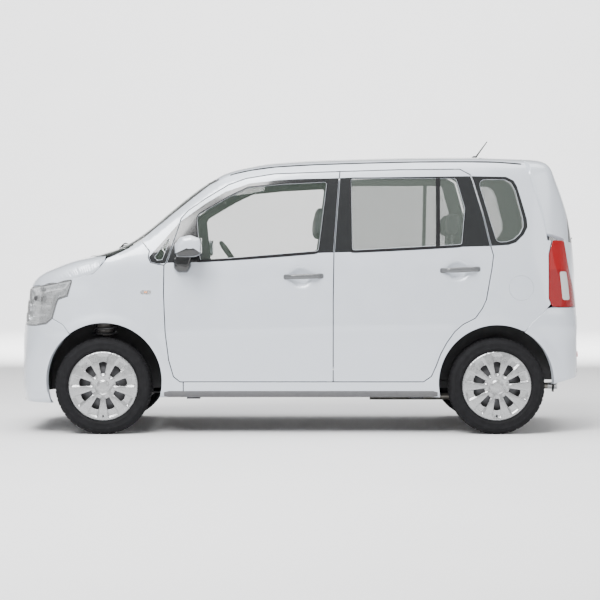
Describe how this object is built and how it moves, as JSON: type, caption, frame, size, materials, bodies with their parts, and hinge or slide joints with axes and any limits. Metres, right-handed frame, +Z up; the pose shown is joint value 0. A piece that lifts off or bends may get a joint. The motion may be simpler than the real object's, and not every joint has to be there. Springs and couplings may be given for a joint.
{
  "type": "kei car, small tall hatchback",
  "caption": "Small tall hatchback car with hinged side doors, bonnet, tailgate and fuel flap, steered front wheels, and a trimmed cabin with seats.",
  "frame": {"origin": "on the ground under the middle of the car's box", "axes": "+X to the rear of the car, +Y to the car's right, +Z up"},
  "size_m": [3.395, 1.8014, 1.8064],
  "materials": {
    "body_paint": "pale silver blue metallic paint, clear coated",
    "underbody": "black sealed sheet steel",
    "glass_clear": "lightly green tinted safety glass",
    "glass_dark": "dark privacy glass",
    "plastic_black": "fine grained black plastic",
    "plastic_dark": "grained dark grey cabin plastic",
    "lamp_clear": "clear polycarbonate over a bright reflector",
    "lamp_red": "red transparent plastic",
    "cast_metal": "bare casting",
    "steel_black": "black painted chassis steel",
    "exhaust_steel": "dull stainless steel",
    "seat_fabric": "grey woven seat cloth",
    "plate_white": "blank white plate",
    "tyre_rubber": "black tyre rubber",
    "wheel_silver": "silver painted wheel cover on a steel rim"
  },
  "bodies": {
    "body": {"floor_pan": "underbody", "body_side_left": "body_paint", "body_side_right": "body_paint", "roof": "body_paint", "front_fenders": "body_paint", "cowl": "plastic_black", "windscreen": "glass_clear", "quarter_windows": "glass_dark", "front_bumper": "body_paint", "grille": "plastic_black", "headlamps": "lamp_clear", "tail_lamps": "lamp_red", "rear_bumper": "body_paint", "front_plate": "plate_white", "antenna": "plastic_black", "engine": "cast_metal", "front_subframe": "steel_black", "rear_axle": "steel_black", "fuel_tank": "plastic_black", "exhaust": "exhaust_steel", "dashboard": "plastic_dark", "front_seats": "seat_fabric", "rear_seat": "seat_fabric"},
    "knuckle_left": {"knuckle_left": "steel_black"},
    "knuckle_right": {"knuckle_right": "steel_black"},
    "wheel_front_left": {"tyre_front_left": "tyre_rubber", "wheel_front_left": "wheel_silver"},
    "wheel_front_right": {"tyre_front_right": "tyre_rubber", "wheel_front_right": "wheel_silver"},
    "wheel_rear_left": {"tyre_rear_left": "tyre_rubber", "wheel_rear_left": "wheel_silver"},
    "wheel_rear_right": {"tyre_rear_right": "tyre_rubber", "wheel_rear_right": "wheel_silver"},
    "steering_wheel": {"steering_wheel": "plastic_dark"},
    "front_door_left": {"front_door_left": "body_paint", "front_window_left": "glass_clear", "mirror_left": "body_paint"},
    "front_door_right": {"front_door_right": "body_paint", "front_window_right": "glass_clear", "mirror_right": "body_paint"},
    "rear_door_left": {"rear_door_left": "body_paint", "rear_window_left": "glass_dark"},
    "rear_door_right": {"rear_door_right": "body_paint", "rear_window_right": "glass_dark"},
    "bonnet": {"bonnet": "body_paint"},
    "tailgate": {"tailgate": "body_paint", "tailgate_window": "glass_dark", "rear_plate": "plate_white"},
    "fuel_flap": {"fuel_flap": "body_paint"}
  },
  "joints": [
    {"name": "steer_left", "type": "hinge", "parent": "body", "child": "knuckle_left", "pos_m": [-1.175, -0.56, 0.289], "axis": [0, 0, 1], "range_deg": [-35, 35]},
    {"name": "steer_right", "type": "hinge", "parent": "body", "child": "knuckle_right", "pos_m": [-1.175, 0.56, 0.289], "axis": [0, 0, 1], "range_deg": [-35, 35]},
    {"name": "steering_wheel_turn", "type": "hinge", "parent": "body", "child": "steering_wheel", "pos_m": [-0.417, 0.35, 1.018], "axis": [0.8192, 0, 0.5736], "range_deg": [-500, 500]},
    {"name": "wheel_front_left_spin", "type": "hinge", "parent": "knuckle_left", "child": "wheel_front_left", "pos_m": [-1.175, -0.647, 0.289], "axis": [0, 1, 0], "continuous": true},
    {"name": "wheel_front_right_spin", "type": "hinge", "parent": "knuckle_right", "child": "wheel_front_right", "pos_m": [-1.175, 0.647, 0.289], "axis": [0, 1, 0], "continuous": true},
    {"name": "wheel_rear_left_spin", "type": "hinge", "parent": "body", "child": "wheel_rear_left", "pos_m": [1.175, -0.647, 0.289], "axis": [0, 1, 0], "continuous": true},
    {"name": "wheel_rear_right_spin", "type": "hinge", "parent": "body", "child": "wheel_rear_right", "pos_m": [1.175, 0.647, 0.289], "axis": [0, 1, 0], "continuous": true},
    {"name": "front_door_left_swing", "type": "hinge", "parent": "body", "child": "front_door_left", "pos_m": [-0.814, -0.73449, 0.65], "axis": [0, 0, -1], "range_deg": [0, 65]},
    {"name": "front_door_right_swing", "type": "hinge", "parent": "body", "child": "front_door_right", "pos_m": [-0.814, 0.73449, 0.65], "axis": [0, 0, 1], "range_deg": [0, 65]},
    {"name": "rear_door_left_swing", "type": "hinge", "parent": "body", "child": "rear_door_left", "pos_m": [0.198, -0.73448, 0.65], "axis": [0, 0, -1], "range_deg": [0, 65]},
    {"name": "rear_door_right_swing", "type": "hinge", "parent": "body", "child": "rear_door_right", "pos_m": [0.198, 0.73448, 0.65], "axis": [0, 0, 1], "range_deg": [0, 65]},
    {"name": "bonnet_lift", "type": "hinge", "parent": "body", "child": "bonnet", "pos_m": [-1.16, 0, 1.09774], "axis": [0, 1, 0], "range_deg": [0, 55]},
    {"name": "tailgate_lift", "type": "hinge", "parent": "body", "child": "tailgate", "pos_m": [1.352, 0, 1.66623], "axis": [0, -1, 0], "range_deg": [0, 80]},
    {"name": "fuel_flap_swing", "type": "hinge", "parent": "body", "child": "fuel_flap", "pos_m": [1.2435, -0.71571, 0.874], "axis": [0, 0, -1], "range_deg": [0, 100]}
  ],
  "couplings": [
    {"joint": "steer_right", "follows": "steer_left", "ratio": 1},
    {"joint": "steering_wheel_turn", "follows": "steer_left", "ratio": 14}
  ]
}
